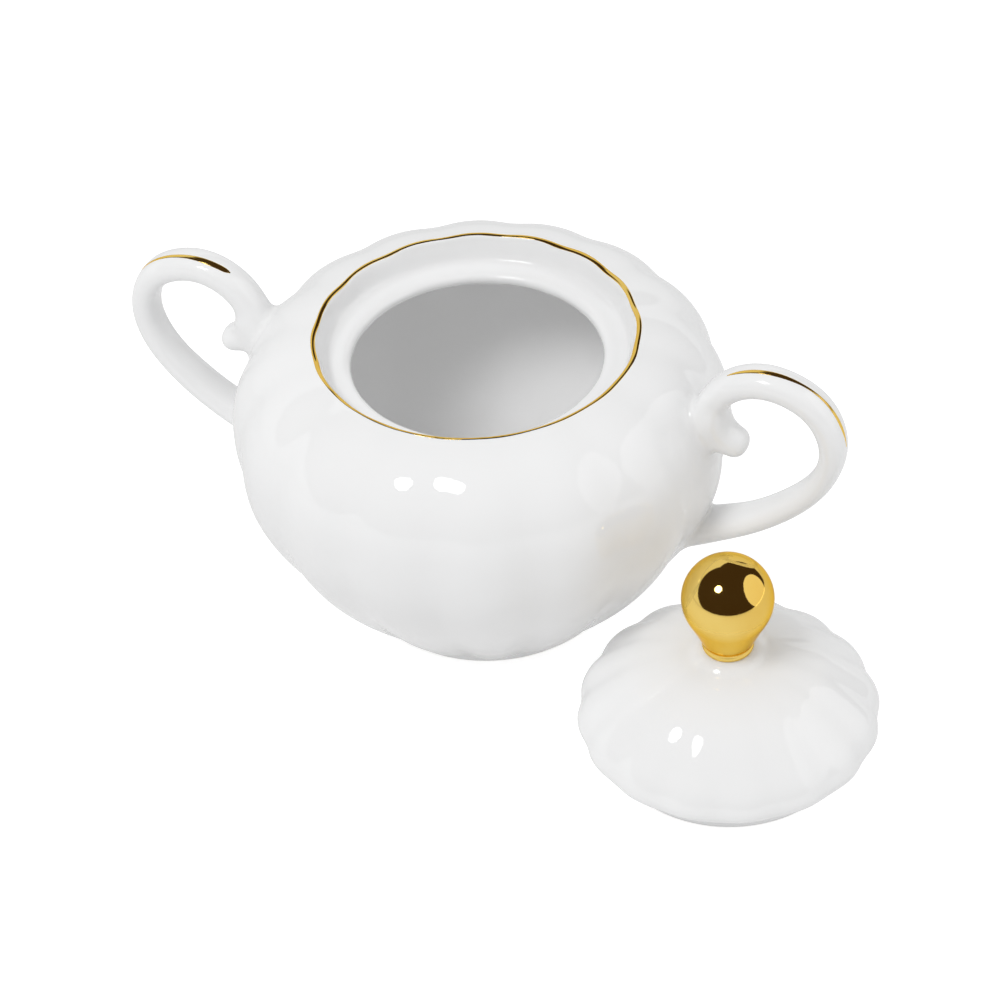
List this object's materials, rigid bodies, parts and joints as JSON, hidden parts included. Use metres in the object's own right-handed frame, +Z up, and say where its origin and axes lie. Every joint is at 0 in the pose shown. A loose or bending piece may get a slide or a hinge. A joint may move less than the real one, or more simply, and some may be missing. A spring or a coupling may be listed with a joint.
{
  "type": "sugar bowl",
  "caption": "Round fluted porcelain sugar bowl with scroll handles and gold trim, its domed lid with a gold ball knob standing beside it.",
  "frame": {"origin": "the middle of the whole set's footprint on the table, with the lid standing beside the bowl", "axes": "+X runs from the bowl's left handle to its right handle, the lid stands towards +X and -Y, and +Z is up"},
  "size_m": [0.1854, 0.1209, 0.0776],
  "materials": {
    "porcelain": "gloss",
    "gold_lustre": "polished"
  },
  "bodies": {
    "bowl": {"bowl": "porcelain", "rim_gold_band": "gold_lustre", "handle_left": "porcelain", "handle_left_gold_stripe": "gold_lustre", "handle_right": "porcelain", "handle_right_gold_stripe": "gold_lustre"},
    "lid": {"lid": "porcelain", "lid_knob": "gold_lustre"}
  },
  "joints": [
    {"name": "lid_lift", "type": "slide", "parent": "bowl", "child": "lid", "axis": [0.4496, -0.2187, 0.866], "range_m": [0, 0.12]}
  ]
}
